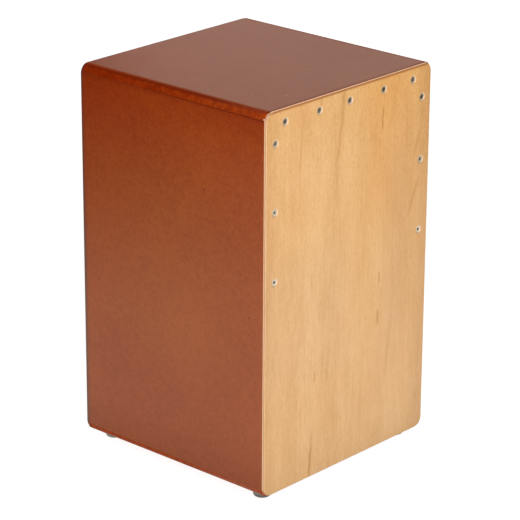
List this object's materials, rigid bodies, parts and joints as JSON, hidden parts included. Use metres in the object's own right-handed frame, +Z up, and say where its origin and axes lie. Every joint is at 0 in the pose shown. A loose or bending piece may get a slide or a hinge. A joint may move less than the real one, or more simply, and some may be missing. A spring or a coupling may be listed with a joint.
{
  "type": "cajon",
  "caption": "Box drum that its player sits on: stained case, thin wooden playing plate screwed on the front, round sound hole in the back, rubber feet and an adjustable string snare inside.",
  "frame": {"origin": "middle of the footprint, on the floor that the feet stand on", "axes": "+Z up, -Y out of the playing plate towards the listener, +X to the right of someone who faces the playing plate"},
  "size_m": [0.299, 0.303, 0.491],
  "materials": {
    "stained_board": "red-brown stain, satin",
    "plate_wood": "light veneer, upright grain, satin lacquer",
    "batten_wood": "planed softwood, bare",
    "screw_steel": "zinc plated",
    "plate_steel": "zinc plated",
    "bolt_steel": "black oxide",
    "brass": "machined",
    "string_wire": "bronze wound",
    "foot_rubber": "grey, matt"
  },
  "bodies": {
    "case": {"top_panel": "stained_board", "bottom_panel": "stained_board", "left_side_panel": "stained_board", "right_side_panel": "stained_board", "tapa": "plate_wood", "back_panel": "stained_board", "front_top_batten": "batten_wood", "front_bottom_batten": "batten_wood", "front_left_batten": "batten_wood", "front_right_batten": "batten_wood", "back_top_batten": "batten_wood", "back_bottom_batten": "batten_wood", "back_left_batten": "batten_wood", "back_right_batten": "batten_wood", "top_left_brace": "batten_wood", "top_right_brace": "batten_wood", "bottom_left_brace": "batten_wood", "bottom_right_brace": "batten_wood", "tapa_screws": "screw_steel", "back_screws": "screw_steel", "front_left_foot": "foot_rubber", "front_right_foot": "foot_rubber", "back_left_foot": "foot_rubber", "back_right_foot": "foot_rubber", "foot_washers": "plate_steel", "foot_screws": "screw_steel", "left_hanger": "plate_steel", "right_hanger": "plate_steel", "left_hanger_screws": "screw_steel", "right_hanger_screws": "screw_steel", "left_outer_string": "string_wire", "left_inner_string": "string_wire", "right_inner_string": "string_wire", "right_outer_string": "string_wire", "left_guide_pins": "plate_steel", "right_guide_pins": "plate_steel", "left_bolt_washer": "plate_steel", "right_bolt_washer": "plate_steel"},
    "left_bolt": {"left_tension_bolt": "bolt_steel"},
    "right_bolt": {"right_tension_bolt": "bolt_steel"},
    "left_string_carrier": {"left_yoke": "brass", "left_ferrules": "brass"},
    "right_string_carrier": {"right_yoke": "brass", "right_ferrules": "brass"}
  },
  "joints": [
    {"name": "left_bolt_turn", "type": "hinge", "parent": "case", "child": "left_bolt", "pos_m": [-0.062, -0.141, 0.017], "axis": [0, 0, 1], "range_deg": [-2170, 2170]},
    {"name": "right_bolt_turn", "type": "hinge", "parent": "case", "child": "right_bolt", "pos_m": [0.062, -0.141, 0.017], "axis": [0, 0, 1], "range_deg": [-2170, 2170]},
    {"name": "left_carrier_slide", "type": "slide", "parent": "case", "child": "left_string_carrier", "axis": [0, 0, 1], "range_m": [-0.006, 0.006], "deforming": ["left_outer_string", "left_inner_string"]},
    {"name": "right_carrier_slide", "type": "slide", "parent": "case", "child": "right_string_carrier", "axis": [0, 0, 1], "range_m": [-0.006, 0.006], "deforming": ["right_inner_string", "right_outer_string"]}
  ],
  "couplings": [
    {"joint": "left_bolt_turn", "follows": "left_carrier_slide", "rad_per_m": -6283.2},
    {"joint": "right_bolt_turn", "follows": "right_carrier_slide", "rad_per_m": -6283.2}
  ]
}
